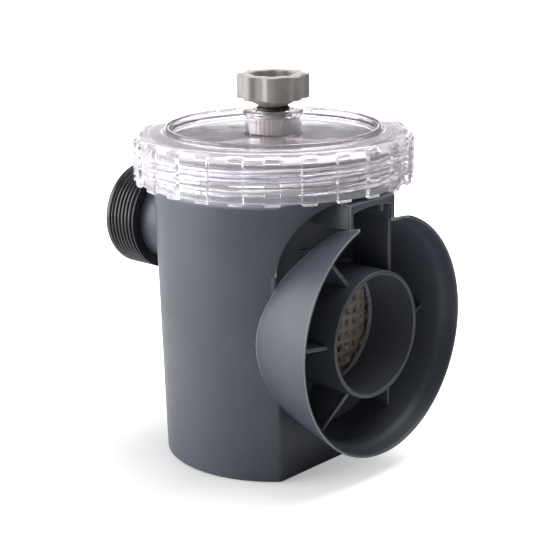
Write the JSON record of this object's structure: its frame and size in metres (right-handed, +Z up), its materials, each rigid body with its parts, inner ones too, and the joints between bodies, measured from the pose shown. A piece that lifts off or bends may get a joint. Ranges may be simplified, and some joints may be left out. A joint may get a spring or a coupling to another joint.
{
  "type": "pool pump strainer housing",
  "caption": "Strainer housing of a pool pump: pot with basket, clear screw-down cover with air-release valve, threaded inlet and shrouded outlet.",
  "frame": {"origin": "on the pot's axis, at the underside of its floor", "axes": "+Z up along the pot's axis, +X along the outlet towards the pump, the inlet points along -X"},
  "size_m": [0.1829, 0.1519, 0.21],
  "materials": {
    "slate_plastic": "satin moulded, slate grey",
    "black_plastic": "satin moulded, black",
    "clear_plastic": "clear polished plastic",
    "seal_rubber": "smooth black rubber",
    "knob_plastic": "semi-gloss, warm light grey",
    "basket_plastic": "satin moulded, warm grey"
  },
  "bodies": {
    "housing": {"pot_floor": "slate_plastic", "pot_back_wall": "slate_plastic", "pot_left_wall": "slate_plastic", "pot_right_wall": "slate_plastic", "outlet_wall": "slate_plastic", "recess_wall": "slate_plastic", "recess_arch": "slate_plastic", "neck_ring": "slate_plastic", "outlet_tube": "slate_plastic", "outlet_shroud": "slate_plastic", "shroud_gussets": "slate_plastic", "latch_bracket": "slate_plastic", "inlet_spout": "slate_plastic", "inlet_nipple": "black_plastic", "nipple_o_ring": "seal_rubber", "basket_cup": "basket_plastic", "basket_floor": "basket_plastic", "basket_rim": "basket_plastic"},
    "cover": {"cover_plate": "clear_plastic", "valve_seat": "clear_plastic", "valve_bushing": "knob_plastic", "cover_gasket": "seal_rubber"},
    "collar": {"collar_ring": "clear_plastic", "collar_ribs": "clear_plastic", "collar_thread": "clear_plastic"},
    "valve_seals": {"valve_o_ring": "seal_rubber", "valve_washer": "seal_rubber"},
    "valve": {"valve_stem": "knob_plastic", "valve_knob": "knob_plastic"},
    "bail": {"basket_bail": "basket_plastic"}
  },
  "joints": [
    {"name": "cover_lift", "type": "slide", "parent": "housing", "child": "cover", "axis": [0, 0, 1], "range_m": [0, 0.01501]},
    {"name": "collar_turn", "type": "hinge", "parent": "cover", "child": "collar", "pos_m": [0, 0, 0.168], "axis": [0, 0, 1], "range_deg": [0, 1080]},
    {"name": "valve_lift", "type": "slide", "parent": "cover", "child": "valve_seals", "axis": [0, 0, 1], "range_m": [0, 0.00501]},
    {"name": "knob_turn", "type": "hinge", "parent": "valve_seals", "child": "valve", "pos_m": [0, 0, 0.2], "axis": [0, 0, 1], "range_deg": [0, 720]},
    {"name": "bail_raise", "type": "hinge", "parent": "housing", "child": "bail", "pos_m": [0, 0, 0.1621], "axis": [0, 1, 0], "range_deg": [0, 13]}
  ],
  "couplings": [
    {"joint": "cover_lift", "follows": "collar_turn", "m_per_rad": 0.00079577},
    {"joint": "valve_lift", "follows": "knob_turn", "m_per_rad": 0.00039789}
  ]
}
